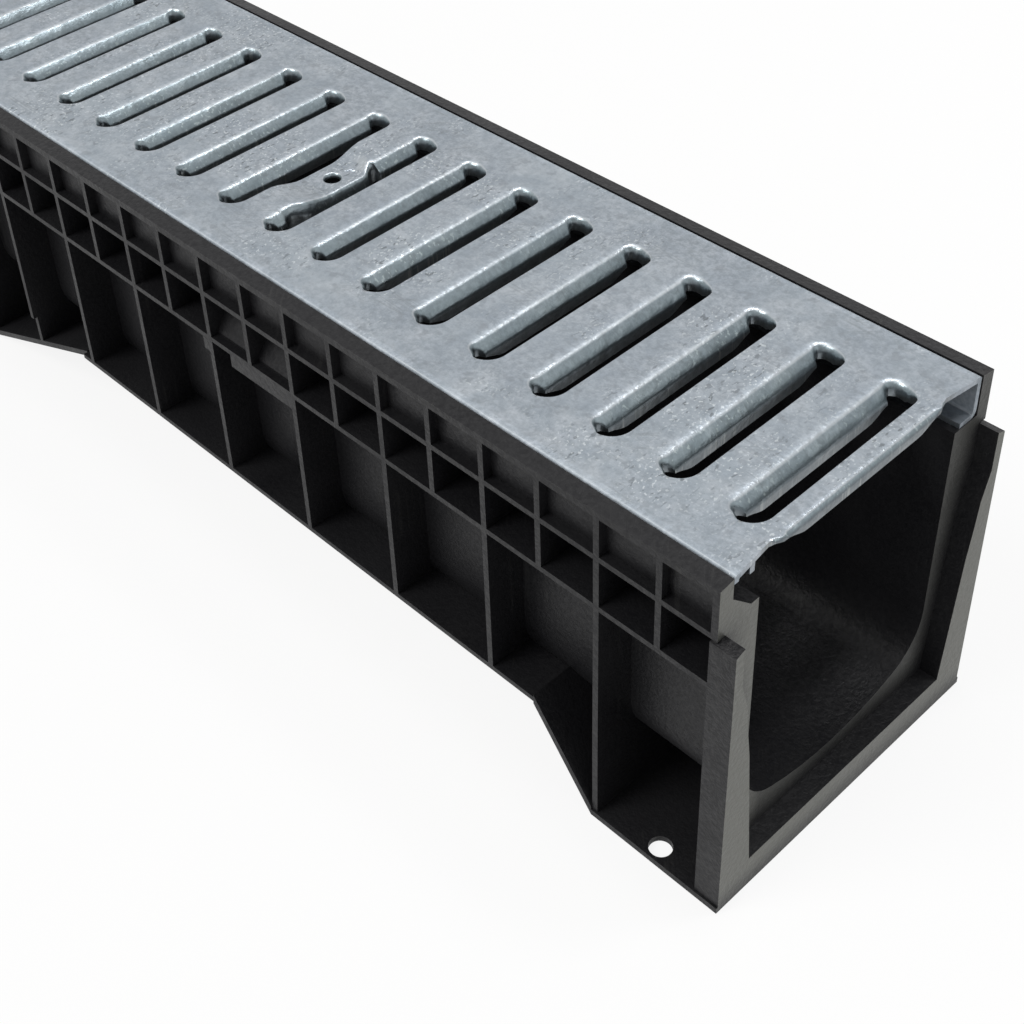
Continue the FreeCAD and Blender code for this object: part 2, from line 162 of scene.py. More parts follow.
def mix_shaders(tree, share, below, above, output_kind):
    """The one shader where the share is 0 and the other where it is 1."""
    mix = tree.nodes.new("ShaderNodeMixShader")
    out = tree.nodes.new(output_kind)
    tree.links.new(share, mix.inputs[0])
    tree.links.new(below.outputs[0], mix.inputs[1])
    tree.links.new(above.outputs[0], mix.inputs[2])
    tree.links.new(mix.outputs[0], out.inputs["Surface"])


world = bpy.data.worlds.new("studio")
bpy.context.scene.world = world
world.use_nodes = True
tree = world.node_tree
tree.nodes.clear()
sky = white_light(tree, "ShaderNodeBackground", SKY_STRENGTH)
backdrop = white_light(tree, "ShaderNodeBackground", 1.0)
mix_shaders(tree, seen_directly(tree), sky, backdrop, "ShaderNodeOutputWorld")

floor_mesh = bpy.data.meshes.new("floor")
floor_form = bmesh.new()
bmesh.ops.create_grid(floor_form, x_segments=1, y_segments=1, size=FLOOR_HALF)
floor_form.to_mesh(floor_mesh)
floor_form.free()
floor = add_object("floor", floor_mesh)
floor.location.z = -FLOOR_DROP

paper = bpy.data.materials.new("white_paper")
paper.use_nodes = True
tree = paper.node_tree
tree.nodes.clear()
lit = tree.nodes.new("ShaderNodeBsdfDiffuse")
lit.inputs["Color"].default_value = PAPER
glow = white_light(tree, "ShaderNodeEmission", 1.0)
share = tree.nodes.new("ShaderNodeMath")
share.operation = "MULTIPLY"
share.inputs[1].default_value = PAPER_GLOW
tree.links.new(seen_directly(tree), share.inputs[0])
mix_shaders(tree, share.outputs[0], lit, glow, "ShaderNodeOutputMaterial")
floor_mesh.materials.append(paper)
print("floor and sky are white to the camera")

# %% [markdown]
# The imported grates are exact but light, with flats round each slot end. In steel the press leaves one
# smooth surface: the sheet rolls down along the far edge of each slot, round both ends, and fades into a
# plain cut edge on the near side. It could be made by bevelling edges, but a bevel has one width all
# along. Here each slot is a set of rings: every ring is the slot's outline moved inward and down a little
# more, by an amount that fades to nothing on the near side.

# %% Sizes of the pressed grate
MM = 0.001
SHEET = 2.0 * MM
EDGE_R = 3.0 * MM            # bend from the side to the return lip
TOP_R = 1.5 * MM             # bend from the plate to the side
LIP = 9.1 * MM
PITCH = 27.7778 * MM
FIRST_EDGE = 7.35 * MM       # first slot's near edge behind the grate's end
SLOT_WIDTH = 16.35 * MM
SLOT_HALF = 43.2 * MM
SLOTS = 18
FLAP = 9.0 * MM              # how far the rolled edge hangs below the plate's top
SUPPORT = 1.2 * MM           # flat strip kept beside each bend, so the shading stays even

EYE_SLOT = 8
EYE_SETBACK = 3.5 * MM       # eye centre behind that slot's far edge
EYE_STEP = 4.2 * MM
EYE_R = 3.0 * MM
EYE_RIM = 1.3 * MM           # soft rim round the eye
EYE_RIM_RINGS = ((0.75, 0.25), (0.30, 0.75), (0.05, 1.4))


def grate_frame(node):
    """Ends, half width, top and underside of a packed grate."""
    low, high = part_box(node)
    return {"x0": low[0], "x1": high[0], "half": high[1], "top": high[2], "foot": low[2]}


for node in ("grate_1", "grate_2"):
    print(node, {k: round(v, 4) for k, v in grate_frame(node).items()})

# %% [markdown]
# The bar with the lock hole is pressed into a shallow trough. Its spans are in millimetres from the
# hole's centre, and it fades in or out over each of them. Ahead of the hole is +X and behind it is -X.

# %% Soft steps
PRESS_DEPTH = 3.6
PRESS_IN_Y = (-25.0, -9.0)
PRESS_OUT_Y_BEHIND = (6.0, 22.0)
PRESS_OUT_Y_AHEAD = (9.0, 15.0)
PRESS_TURN = (-5.0, 7.0)     # from what holds behind the hole to what holds ahead of it
PRESS_IN_X = (-16.0, -8.6)
PRESS_OUT_X = (13.0, 18.0)
PRESS_RISE = (3.0, 9.0)      # the trough gets shallower here by the share below
PRESS_RISE_SHARE = 0.25


def smooth(value, low, high):
    """0 below low, 1 above high, with a soft S between."""
    t = min(1.0, max(0.0, (value - low) / (high - low)))
    return t * t * (3.0 - 2.0 * t)


def between(start, stop, share):
    """The value that lies at a share of the way from start to stop."""
    return start + (stop - start) * share


def smooth_from(value, origin, span):
    """The same soft step, with its span in millimetres from an origin."""
    return smooth(value, origin + span[0] * MM, origin + span[1] * MM)


def eye_press(x, y, eye_x):
    """How far the bar beside the lock hole is pushed down, in metres."""
    ahead = smooth_from(x, eye_x, PRESS_TURN)
    out_y = [between(back, front, ahead) for back, front in zip(PRESS_OUT_Y_BEHIND, PRESS_OUT_Y_AHEAD)]
    along_bar = smooth_from(y, 0.0, PRESS_IN_Y) * (1.0 - smooth_from(y, 0.0, out_y))
    rise = 1.0 - PRESS_RISE_SHARE * smooth_from(x, eye_x, PRESS_RISE)
    across = smooth_from(x, eye_x, PRESS_IN_X) * rise * (1.0 - smooth_from(x, eye_x, PRESS_OUT_X))
    return PRESS_DEPTH * MM * along_bar * across


print("press beside the eye:", round(eye_press(0.0, 0.0, 0.0) * 1000, 2), "mm")

# %% [markdown]
# A slot is drawn once, as a closed loop of points that is fine along the rolled side and coarse along the
# cut side. Every point also says how much of the bend it carries, so the same loop holds both sides.

# %% Outline of one slot
ARC_STEPS = 20
ROLLED_STEPS = 48
CUT_STEPS = 24
PLUS_END = (16.0, 66.0)      # degrees over which the bend grows round the +Y end
MINUS_END = (252.0, 284.0)   # degrees over which it fades round the -Y end
BULGE_IN = (-31.0, -20.0)    # millimetres in Y over which the bar beside the eye gets wider
BULGE_OUT = (8.0, 14.5)      # and narrower again
BULGE_TIGHT = 0.5            # share of the bend's reach that the wide part gives up


def slot_outline(near_x, stepped):
    """Points round a slot: x, y, how much of the bend each one carries, and how tight it is."""
    radius = SLOT_WIDTH / 2.0
    side = SLOT_HALF - radius
    centre = near_x - radius
    ring = []
    for n in range(ARC_STEPS + 1):
        a = math.pi * n / ARC_STEPS
        weight = smooth(math.degrees(a), *PLUS_END)
        ring.append((centre + radius * math.cos(a), side + radius * math.sin(a), weight, 1.0))
    for n in range(1, ROLLED_STEPS):
        y = side - 2.0 * side * n / ROLLED_STEPS
        bulge = 0.0
        if stepped:
            bulge = smooth_from(y, 0.0, BULGE_IN) * (1.0 - smooth_from(y, 0.0, BULGE_OUT))
        ring.append((near_x - SLOT_WIDTH + EYE_STEP * bulge, y, 1.0, 1.0 - BULGE_TIGHT * bulge))
    for n in range(ARC_STEPS + 1):
        a = math.pi + math.pi * n / ARC_STEPS
        weight = 1.0 - smooth(math.degrees(a), *MINUS_END)
        ring.append((centre + radius * math.cos(a), -side + radius * math.sin(a), weight, 1.0))
    for n in range(1, CUT_STEPS):
        ring.append((near_x, -side + 2.0 * side * n / CUT_STEPS, 0.0, 1.0))
    return ring


def inward(ring, n):
    """Unit vector into the slot at point n of its outline."""
    ax, ay = ring[n - 1][:2]
    bx, by = ring[(n + 1) % len(ring)][:2]
    tx, ty = bx - ax, by - ay
    length = math.hypot(tx, ty)
    return (-ty / length, tx / length)


print("points round a slot:", len(slot_outline(0.0, False)))

# %% [markdown]
# The section of the bend is two lists of reach and drop in millimetres: a long one for the slot's side
# and a tight one for its round ends. In between, the section is a mix of the two.

# %% Section of the bend
ROLL_SIDE = (
    (0.0, 0.0), (1.3, 0.10), (2.6, 0.45), (3.6, 1.0), (4.1, 1.45), (5.5, 3.0), (6.5, 4.3), (6.9, 5.0),
    (7.0, 5.8),
)
ROLL_END = (
    (0.0, 0.0), (0.6, 0.05), (1.2, 0.22), (1.8, 0.55), (2.3, 1.0), (2.8, 1.8), (3.15, 2.8), (3.3, 3.9),
    (3.4, 5.0),
)
ROLL_TURN = (0.15, 0.75)


def roll_section(end_share):
    """Pairs of reach and drop, from a slot's long side (0) to the middle of its round end (1)."""
    t = smooth(end_share, *ROLL_TURN)
    pairs = []
    for (side_reach, side_drop), (end_reach, end_drop) in zip(ROLL_SIDE, ROLL_END):
        pairs.append((between(side_reach, end_reach, t) * MM, between(side_drop, end_drop, t) * MM))
    return pairs


print("bend at the long side reaches", round(roll_section(0.0)[-1][0] * 1000, 2), "mm")

# %% [markdown]
# Every form below is made the same way: rows of points, one row for each step of a section, and a skin of
# four-sided faces between neighbouring rows. A closed row goes round a slot or a hole, and an open row
# runs along an end or a side.


# %% Rings of one slot
FLAP_ENDS = (26.0, 36.0)     # millimetres in Y over which the flap comes up to the bend
FLAP_LEFT = 0.3 * MM
EDGE_SHARE = 0.8             # the cut edge is no wider than this share of the bend's reach
UNDER_SHARES = (0.5, 0.6)    # way in and way up of the one point under the bend


def skin(form, rows, closed):
    """Faces between neighbouring rows of points."""
    for a, b in zip(rows, rows[1:]):
        count = len(a)
        for n in range(count if closed else count - 1):
            m = (n + 1) % count
            form.faces.new((a[n], a[m], b[m], b[n]))


def under_bend(top, point, normal, section):
    """Points from the bend's lowest ring round the cut edge and back under the plate."""
    x, y, weight, tight = point
    nx, ny = normal
    full, bend = section[-1]
    full *= tight
    deep = FLAP - (FLAP - bend - FLAP_LEFT) * smooth_from(abs(y), 0.0, FLAP_ENDS)
    low = top - (SHEET + (deep - SHEET) * weight)
    out = full * weight
    back = out - min(SHEET, EDGE_SHARE * full) * weight
    high = top - bend * weight - SHEET * (1.0 - weight)
    way_in, way_up = UNDER_SHARES
    return (
        (x + nx * out, y + ny * out, low),
        (x + nx * back, y + ny * back, low),
        (x + nx * back, y + ny * back, high),
        (x + nx * back * way_in, y + ny * back * way_in, high + (bend - SHEET) * weight * way_up),
        (x, y, top - SHEET),
    )


def slot_rings(form, frame_of, near_x, stepped, eye_x):
    """Rings from the plate's top, down the bend, round the sheet's cut edge and back up underneath."""
    ring = slot_outline(near_x, stepped)
    top = frame_of["top"]
    normals = [inward(ring, n) for n in range(len(ring))]
    sections = [roll_section(abs(ny)) for _, ny in normals]
    levels = [[(x - nx * SUPPORT, y - ny * SUPPORT, top) for (x, y, _, _), (nx, ny) in zip(ring, normals)]]
    for step in range(len(ROLL_SIDE)):
        points = []
        for (x, y, weight, tight), (nx, ny), section in zip(ring, normals, sections):
            reach, drop = section[step]
            reach *= weight * tight
            points.append((x + nx * reach, y + ny * reach, top - drop * weight))
        levels.append(points)
    below = []
    for point, normal, section in zip(ring, normals, sections):
        below.append(under_bend(top, point, normal, section))
    levels += zip(*below)
    rows = []
    for points in levels:
        rows.append([form.verts.new((x, y, z - eye_press(x, y, eye_x))) for x, y, z in points])
    skin(form, rows, closed=True)
    return rows[0], rows[-1]


print("slot rings ready")

# %% [markdown]
# The flat sheet between the slots is one face with many holes. Blender fills such a shape from its edges:
# make the outer outline and every hole as loops of edges, then ask for a triangle fill. Beside the lock
# hole the fill is cut finer afterwards, because that bar is pressed into a shallow trough.

# %% Plate with holes
HOLE_STEPS = 32
END_STEPS = 48
END_R = 2.4 * MM             # bend from the plate to the turned-down lip
END_INNER_R = 0.4 * MM
END_ANGLES = (0, 22.5, 45, 67.5, 90)
END_DEPTH = 5.0 * MM
END_SHALLOWER = 2.8 * MM     # taken off the lip's depth towards its corners
END_SHALLOW_Y = (28.0, 37.5)
END_FADE_Y = (36.5, 40.5)    # the lip fades out over these
CORNER_SETBACK = 1.8 * MM
CORNER_IN_Y = (39.0, 43.5)   # the plate's corner is set back from here
CORNER_START = 44.0 * MM     # and runs out again to the full length from here


def loop_edges(form, loop):
    """Edges round a closed loop of points, old ones where they are there."""
    made = []
    for a, b in zip(loop, loop[1:] + loop[:1]):
        edge = form.edges.get((a, b))
        made.append(edge or form.edges.new((a, b)))
    return made


def round_hole(form, x, z, radius):
    """Points round a hole in the middle of the grate."""
    made = []
    for n in range(HOLE_STEPS):
        a = 2 * math.pi * n / HOLE_STEPS
        made.append(form.verts.new((x + radius * math.cos(a), radius * math.sin(a), z)))
    return made


def end_line(frame_of, direction):
    """Points along one end of the plate: x, y and how much of the turned-down lip each carries."""
    end = frame_of["x1"] if direction > 0 else frame_of["x0"]
    half = frame_of["half"] - TOP_R - SUPPORT
    points = []
    for n in range(END_STEPS + 1):
        y = -half + 2.0 * half * n / END_STEPS
        lip = 1.0 - smooth_from(abs(y), 0.0, END_FADE_Y)
        ease = max(0.0, abs(y) - CORNER_START) / (half - CORNER_START)
        set_back = CORNER_SETBACK * smooth_from(abs(y), 0.0, CORNER_IN_Y) * (1.0 - ease)
        points.append((end - direction * (set_back + END_R * lip), y, lip))
    return points


def end_lip(form, frame_of, direction):
    """The end of the plate, rolled down between its corners; returns its top and bottom lines."""
    line = end_line(frame_of, direction)
    top = frame_of["top"]
    levels = [[(x - direction * SUPPORT, y, top) for x, y, _ in line]]
    for angle in END_ANGLES:
        out, down = math.sin(math.radians(angle)), 1 - math.cos(math.radians(angle))
        levels.append([
            (x + direction * END_R * lip * out, y, top - END_R * lip * down) for x, y, lip in line
        ])
    cut, inner, base = [], [], []
    for x, y, lip in line:
        depth = END_DEPTH - END_SHALLOWER * smooth_from(abs(y), 0.0, END_SHALLOW_Y)
        low = top - (SHEET + (depth - SHEET) * lip)
        cut.append((x + direction * END_R * lip, y, low))
        inner.append((x + direction * END_INNER_R * lip, y, low))
        base.append((x, y, top - SHEET))
    rows = [[form.verts.new(p) for p in level] for level in levels + [cut, inner, base]]
    skin(form, rows, closed=False)
    return rows[0], rows[-1]


print("end lip ready")

# %% [markdown]
# Each side of the grate is one section, swept along it: over a bend, down the side, round to the lip and
# back inside. At the near end the side on -Y is notched down to the plate.

# %% Rolled sides of the grate
BEND_STEPS = 8
INNER_BEND_STEPS = 4
INNER_CHAMFER = 0.4 * MM
RAIL_STEPS = 24
OUTSIDE_POINTS = 17          # points of the section that lie on the side's outer face
NOTCH_RUN = 0.05 * MM        # run of the step at the notch
NOTCH_DEPTH = 3.2 * MM       # what is left below the plate's top in the notch
NOTCH_MINUS = 9.0 * MM
NOTCH_PLUS = 4.0 * MM


def arc(centre_y, centre_z, radius, start, turn, steps):
    """Points round a bend of the section, in degrees from the +Y direction."""
    points = []
    for n in range(steps + 1):
        a = math.radians(start + turn * n / steps)
        points.append((centre_y + radius * math.cos(a), centre_z + radius * math.sin(a)))
    return points


def side_profile(frame_of):
    """Section of one side, from the plate's top round the outside to the lip and back inside."""
    top, foot, half = frame_of["top"], frame_of["foot"], frame_of["half"]
    points = [(half - TOP_R - SUPPORT, top)]
    points += arc(half - TOP_R, top - TOP_R, TOP_R, 90.0, -90.0, BEND_STEPS)
    points += arc(half - EDGE_R, foot + EDGE_R, EDGE_R, 0.0, -90.0, BEND_STEPS)
    points += [(half - LIP, foot), (half - LIP, foot + SHEET)]
    points += arc(half - EDGE_R, foot + EDGE_R, EDGE_R - SHEET, -90.0, 90.0, INNER_BEND_STEPS)
    points += [(half - SHEET, top - SHEET - INNER_CHAMFER), (half - SHEET - INNER_CHAMFER, top - SHEET)]
    points.append((half - TOP_R - SUPPORT, top - SHEET))
    return points


def cut_short(profile, frame_of):
    """The same section with little more than the plate's thickness left, where the side is notched."""
    floor_z = frame_of["top"] - NOTCH_DEPTH
    half = frame_of["half"]
    short = []
    for n, (y, z) in enumerate(profile):
        if z < floor_z:
            y, z = (half if n < OUTSIDE_POINTS else half - SHEET), floor_z
        short.append((y, z))
    return short


def side_rail(form, frame_of, side):
    """Sweep the side section along the grate; returns the lines where the plate joins it."""
    profile = side_profile(frame_of)
    x0, x1 = frame_of["x0"], frame_of["x1"]
    notch = NOTCH_MINUS if side < 0 else NOTCH_PLUS
    stations = [(x0 + (x1 - notch - x0) * n / RAIL_STEPS, profile) for n in range(RAIL_STEPS + 1)]
    if side < 0:
        short = cut_short(profile, frame_of)
        stations += [(x1 - notch + NOTCH_RUN, short), (x1, short)]
    else:
        stations.append((x1, profile))
    rows = [[form.verts.new((x, side * y, z)) for y, z in points] for x, points in stations]
    skin(form, rows, closed=False)
    for row in (rows[0], rows[-1]):
        form.faces.new(row)
    return [row[0] for row in rows], [row[-1] for row in rows]


print("side rail ready")

# %% [markdown]
# A narrow tongue of the same sheet hangs from the plate where the side is notched. It is a plain bar with
# its edges rounded.

# %% Tongue at the open corner
TONGUE_Y = -50.9 * MM
TONGUE_WIDTH = 2.4 * MM
TONGUE_TOP = 1.0 * MM        # both below the plate's top
TONGUE_FOOT = 7.5 * MM
TONGUE_ROUND = 0.3 * MM


def corner_tongue(form, frame_of):
    """Narrow tongue that hangs from the plate beside the open corner."""
    x1, top = frame_of["x1"] - CORNER_SETBACK, frame_of["top"]
    made = bmesh.ops.create_cube(form, size=1.0)["verts"]
    for vert in made:
        vert.co.x = x1 - (0.5 - vert.co.x) * SHEET
        vert.co.y = TONGUE_Y + vert.co.y * TONGUE_WIDTH
        vert.co.z = top - TONGUE_FOOT if vert.co.z < 0 else top - TONGUE_TOP
    corners = set(made)
    edges = [edge for edge in form.edges if edge.verts[0] in corners and edge.verts[1] in corners]
    bmesh.ops.bevel(form, geom=edges, offset=TONGUE_ROUND, segments=2, profile=0.5, affect="EDGES")


print("tongue ready")

# %% [markdown]
# A triangle fill only joins the points that it is given, so its edges would run long and straight across
# the pressed bar. They are cut into short ones, and the new points are set on the pressed surface.

# %% Finer fill in the pressed bar
DISH_REACH_X = 11.0 * MM
DISH_REACH_Y = 34.0 * MM
DISH_EDGE = 2.5 * MM         # longer fill edges than this are cut
DISH_CUTS = 5


def refine_dish(form, frame_of, eye_x):
    """Cut the long fill edges beside the eye and set the new points on the pressed surface."""
    long_ones = []
    for edge in form.edges:
        close = all(abs(v.co.x - eye_x) < DISH_REACH_X and abs(v.co.y) < DISH_REACH_Y for v in edge.verts)
        flat = len(edge.link_faces) == 2 and all(len(face.verts) == 3 for face in edge.link_faces)
        if close and flat and edge.calc_length() > DISH_EDGE:
            long_ones.append(edge)
    made = bmesh.ops.subdivide_edges(form, edges=long_ones, cuts=DISH_CUTS)
    for part in made["geom_inner"]:
        if isinstance(part, bmesh.types.BMVert):
            press = eye_press(part.co.x, part.co.y, eye_x)
            middle = frame_of["top"] - SHEET / 2.0 - press
            part.co.z = middle + (SHEET / 2.0 if part.co.z > middle else -SHEET / 2.0)


print("dish helper ready")

# %% [markdown]
# Now the grate is put together. Slots, ends and sides come first, then the plate's two faces are filled
# between them, and points that lie on each other are merged. Each pressed grate rides on the body of the
# packed one and takes its place.

# %% Whole grate
MERGE = 0.02 * MM
SHARP_ANGLE = 38.0


def fill_plate(form, ends, sides, holes):
    """Fill one face of the plate, from its outline and its holes."""
    right, left = sides[0][1:-1], sides[1][1:-1]
    outline = ends[0] + right[::-1] + ends[1][::-1] + left
    edges = []
    for loop in [outline] + holes:
        edges += loop_edges(form, loop)
    bmesh.ops.triangle_fill(form, use_beauty=True, use_dissolve=False, edges=edges, normal=(0.0, 0.0, 1.0))


def build_grate(node, name):
    """One pressed grate as a single closed sheet, in the place of a packed one."""
    frame_of = grate_frame(node)
    form = bmesh.new()
    nears = [frame_of["x1"] - FIRST_EDGE - PITCH * n for n in range(SLOTS)]
    eye_x = nears[EYE_SLOT] - SLOT_WIDTH - EYE_SETBACK
    tops, bases = [], []
    for n, near in enumerate(nears):
        high, low = slot_rings(form, frame_of, near, n == EYE_SLOT, eye_x)
        tops.append(high)
        bases.append(low)
    plus_top, plus_base = end_lip(form, frame_of, 1.0)
    minus_top, minus_base = end_lip(form, frame_of, -1.0)
    right_top, right_base = side_rail(form, frame_of, 1.0)
    left_top, left_base = side_rail(form, frame_of, -1.0)

    top_z = frame_of["top"] - eye_press(eye_x, 0.0, eye_x)
    base_z = frame_of["top"] - SHEET - eye_press(eye_x, 0.0, eye_x)
    tops.append(round_hole(form, eye_x, top_z, EYE_R + EYE_RIM))
    fill_plate(form, (plus_top, minus_top), (right_top, left_top), tops)
    bases.append(round_hole(form, eye_x, base_z, EYE_R))
    fill_plate(form, (plus_base, minus_base), (right_base, left_base), bases)
    rim = [round_hole(form, eye_x, top_z - down * MM, EYE_R + wider * MM) for wider, down in EYE_RIM_RINGS]
    skin(form, [tops[-1]] + rim + [bases[-1]], closed=True)

    corner_tongue(form, frame_of)
    bmesh.ops.remove_doubles(form, verts=form.verts, dist=MERGE)
    refine_dish(form, frame_of, eye_x)
    bmesh.ops.recalc_face_normals(form, faces=form.faces)
    mesh = bpy.data.meshes.new(name)
    form.to_mesh(mesh)
    form.free()
    print(name, "faces", len(mesh.polygons))
    return add_object(name, mesh)


pressed = [build_grate("grate_1", "pressed_grate_near"), build_grate("grate_2", "pressed_grate_far")]
for piece, node in zip(pressed, ("grate_1", "grate_2")):
    piece.data.shade_smooth()
    piece.data.set_sharp_from_angle(angle=math.radians(SHARP_ANGLE))
    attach(piece, "root")
    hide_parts(node)

# %% [markdown]
# Both finishes are mixed from a few effects: a slow cloud of tone, fine speckle, short dashes and
# scratches. Each is a node group, built once and placed in a material with its own numbers. A group only
# puts out masks, so each material decides what a mask does to its colour, roughness or bump.


# %% Helpers for node groups
def new_group(name, inputs, outputs):
    """A node group with its sockets; returns the group and its two end nodes."""
    group = bpy.data.node_groups.new(name, "ShaderNodeTree")
    for label, kind, value in inputs:
        socket = group.interface.new_socket(name=label, in_out="INPUT", socket_type=kind)
        if value is not None:
            socket.default_value = value
    for label in outputs:
        group.interface.new_socket(name=label, in_out="OUTPUT", socket_type="NodeSocketFloat")
    return group, group.nodes.new("NodeGroupInput"), group.nodes.new("NodeGroupOutput")


def feed(tree, socket, value):
    """Set a socket to a number, or link it to what another node puts out."""
    if isinstance(value, (int, float)):
        socket.default_value = value
    else:
        tree.links.new(value, socket)


def math_node(tree, operation, a, b=None, clamp=False):
    """One sum on masks or numbers."""
    node = tree.nodes.new("ShaderNodeMath")
    node.operation = operation
    node.use_clamp = clamp
    feed(tree, node.inputs[0], a)
    if b is not None:
        feed(tree, node.inputs[1], b)
    return node.outputs[0]


def times(tree, a, b, clamp=False):
    """Two masks multiplied."""
    return math_node(tree, "MULTIPLY", a, b, clamp)


def map_range(tree, value, low, high, to_low=0.0, to_high=1.0):
    """Stretch a mask from one range to another and hold it there."""
    node = tree.nodes.new("ShaderNodeMapRange")
    node.inputs["From Min"].default_value = low
    node.inputs["From Max"].default_value = high
    node.inputs["To Min"].default_value = to_low
    node.inputs["To Max"].default_value = to_high
    tree.links.new(value, node.inputs["Value"])
    return node.outputs["Result"]


def noise(tree, vector, scale, detail=3.0, roughness=0.55, distortion=0.0):
    """Smooth noise from 0 to 1, mostly near the middle."""
    node = tree.nodes.new("ShaderNodeTexNoise")
    node.inputs["Detail"].default_value = detail
    node.inputs["Roughness"].default_value = roughness
    node.inputs["Distortion"].default_value = distortion
    tree.links.new(vector, node.inputs["Vector"])
    feed(tree, node.inputs["Scale"], scale)
    return node.outputs["Fac"]


def stretch(tree, vector, x_factor, y_factor):
    """Space with X and Y multiplied, so that what is drawn in it comes out narrow."""
    split = tree.nodes.new("ShaderNodeSeparateXYZ")
    join = tree.nodes.new("ShaderNodeCombineXYZ")
    tree.links.new(vector, split.inputs[0])
    tree.links.new(times(tree, split.outputs[0], x_factor), join.inputs[0])
    tree.links.new(times(tree, split.outputs[1], y_factor), join.inputs[1])
    tree.links.new(split.outputs[2], join.inputs[2])
    return join.outputs[0]


VECTOR = ("Vector", "NodeSocketVector", None)
print("group helpers ready")

# %% [markdown]
# Clouds and speckle are the same noise at two scales. Plain noise stays near its middle, so both are
# stretched until they use the whole range.

# %% Clouds and speckle
clouds, start, end = new_group(
    "clouds_and_speckle",
    [VECTOR, ("Cloud Scale", "NodeSocketFloat", 20.0), ("Speckle Scale", "NodeSocketFloat", 400.0)],
    ["Cloud", "Speckle"],
)
cloud = noise(clouds, start.outputs["Vector"], start.outputs["Cloud Scale"], 4.0, 0.6, 0.4)
speck = noise(clouds, start.outputs["Vector"], start.outputs["Speckle Scale"], 2.0, 0.7)
clouds.links.new(map_range(clouds, cloud, 0.3, 0.7), end.inputs["Cloud"])
clouds.links.new(map_range(clouds, speck, 0.35, 0.65), end.inputs["Speckle"])
print("group", clouds.name)

# %% [markdown]
# The press leaves small dark dashes where the sheet dragged over the tool. They are the peaks of a noise
# that is stretched along the slots, kept only where a second, slower noise is high, so they come in drifts.

# %% Dashes
dashes, start, end = new_group(
    "dashes",
    [VECTOR, ("Across", "NodeSocketFloat", 400.0), ("Along", "NodeSocketFloat", 150.0),
     ("Amount", "NodeSocketFloat", 0.66)],
    ["Mask"],
)
drawn_out = stretch(dashes, start.outputs["Vector"], start.outputs["Across"], start.outputs["Along"])
peaks = math_node(dashes, "SUBTRACT", noise(dashes, drawn_out, 1.0, 2.0, 0.5), start.outputs["Amount"])
drifts = map_range(dashes, noise(dashes, start.outputs["Vector"], 26.0, 2.0), 0.46, 0.60)
dash = map_range(dashes, peaks, 0.0, 0.05)
dashes.links.new(times(dashes, dash, drifts, clamp=True), end.inputs["Mask"])
print("group", dashes.name)

# %% [markdown]
# Scratches are long and thin: turn space, stretch it along one direction, take a sharp band of noise in
# it, and keep only some of the lines with a second, slower noise. Two sets at different angles look like
# handling marks; one set alone looks brushed.

# %% Scratches
scratches, start, end = new_group(
    "scratches",
    [VECTOR, ("Angle", "NodeSocketFloat", 0.4), ("Fineness", "NodeSocketFloat", 300.0),
     ("Length", "NodeSocketFloat", 9.0)],
    ["Mask"],
)
turn = scratches.nodes.new("ShaderNodeVectorRotate")
turn.rotation_type = "Z_AXIS"
scratches.links.new(start.outputs["Vector"], turn.inputs["Vector"])
scratches.links.new(start.outputs["Angle"], turn.inputs["Angle"])
drawn_out = stretch(scratches, turn.outputs[0], start.outputs["Length"], start.outputs["Fineness"])
line = noise(scratches, drawn_out, 1.0, 1.0, 0.5, 0.15)
off_line = math_node(scratches, "ABSOLUTE", math_node(scratches, "SUBTRACT", line, 0.5))
sharp = math_node(scratches, "SUBTRACT", 1.0, map_range(scratches, off_line, 0.0, 0.022))
handled = map_range(scratches, noise(scratches, start.outputs["Vector"], 34.0, 3.0), 0.52, 0.62)
scratches.links.new(times(scratches, sharp, handled, clamp=True), end.inputs["Mask"])
print("group", scratches.name)


# %% [markdown]
# A material starts from the standard shader. These helpers place a group in it, turn a mask into colours,
# lay one colour over another and stack one bump on the next.

# %% Helpers for materials
def place_group(tree, group, place, **values):
    """Put a group into a material, on the object's own space and with its own numbers."""
    node = tree.nodes.new("ShaderNodeGroup")
    node.node_tree = group
    for label, value in values.items():
        node.inputs[label.replace("_", " ")].default_value = value
    tree.links.new(place, node.inputs["Vector"])
    return node.outputs


def tone(tree, mask, stops):
    """Colours along a mask."""
    ramp = tree.nodes.new("ShaderNodeValToRGB")
    while len(ramp.color_ramp.elements) < len(stops):
        ramp.color_ramp.elements.new(0.5)
    for element, (position, colour) in zip(ramp.color_ramp.elements, stops):
        element.position = position
        element.color = (*colour, 1.0)
    tree.links.new(mask, ramp.inputs["Fac"])
    return ramp.outputs["Color"]


def blend_colour(tree, mask, below, above, kind="MIX"):
    """The colour below where the mask is 0 and the colour above where it is 1."""
    node = tree.nodes.new("ShaderNodeMix")
    node.data_type = "RGBA"
    node.blend_type = kind
    tree.links.new(mask, node.inputs["Factor"])
    for socket, value in ((node.inputs[6], below), (node.inputs[7], above)):
        if isinstance(value, tuple):
            socket.default_value = (*value, 1.0)
        else:
            tree.links.new(value, socket)
    return node.outputs[2]


def bump(tree, height, strength, distance, below=None):
    """A normal that follows a height mask, on top of the bump below it."""
    node = tree.nodes.new("ShaderNodeBump")
    node.inputs["Strength"].default_value = strength
    node.inputs["Distance"].default_value = distance
    tree.links.new(height, node.inputs["Height"])
    if below is not None:
        tree.links.new(below, node.inputs["Normal"])
    return node.outputs["Normal"]


def start_material(name):
    """A new material, its nodes, its shader and the object's own space."""
    material = bpy.data.materials.new(name)
    material.use_nodes = True
    tree = material.node_tree
    place = tree.nodes.new("ShaderNodeTexCoord").outputs["Object"]
    return material, tree, tree.nodes["Principled BSDF"], place


